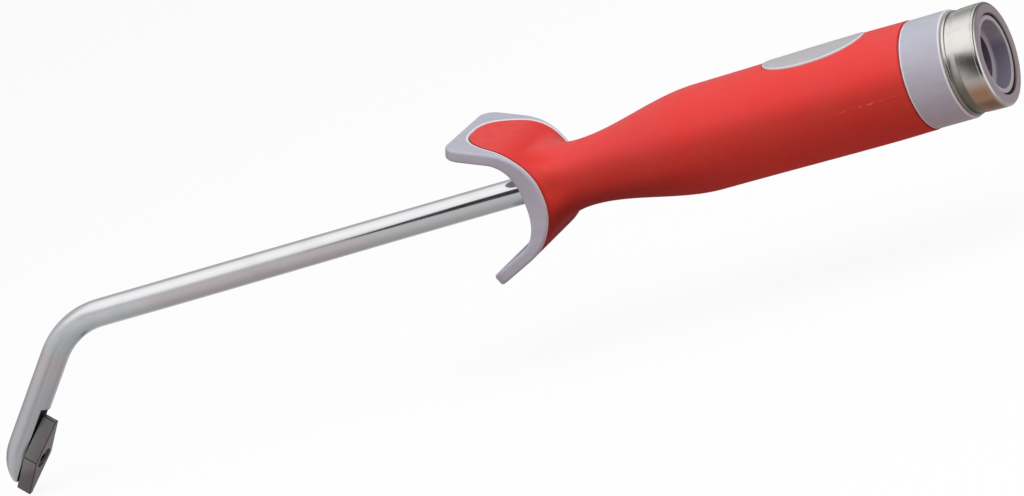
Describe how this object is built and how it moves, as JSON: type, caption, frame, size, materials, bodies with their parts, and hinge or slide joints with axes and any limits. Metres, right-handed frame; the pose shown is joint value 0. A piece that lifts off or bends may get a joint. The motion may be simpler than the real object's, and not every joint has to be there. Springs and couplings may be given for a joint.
{
  "type": "groove scraper",
  "caption": "Hand groove scraper: a bent round steel bar with a replaceable hard scraping insert, in a two-part handle with a curved guard, thumb pad and steel striking ring.",
  "frame": {"origin": "centre of the tool's overall box", "axes": "+X along the handle, from the scraping tip to the striking end; the bent tip points down, to -Z, and the thumb pad up, to +Z; the tool is alike on both sides of the XZ plane"},
  "size_m": [0.3516, 0.0336, 0.0706],
  "materials": {
    "chrome_steel": "bright plated along the straight bar, duller round the bend and matt at the ground tip",
    "insert_carbide": "dark, sintered and ground, matt",
    "black_steel": "blackened",
    "grey_plastic": "fine satin moulding",
    "red_rubber": "smooth soft-touch overmould, satin",
    "polished_steel": "turned and polished"
  },
  "bodies": {
    "root": {"shank": "chrome_steel", "scraper_insert": "insert_carbide", "insert_screw": "black_steel", "handle_core": "grey_plastic", "grip_sleeve": "red_rubber", "striking_ring": "polished_steel"}
  },
  "joints": []
}
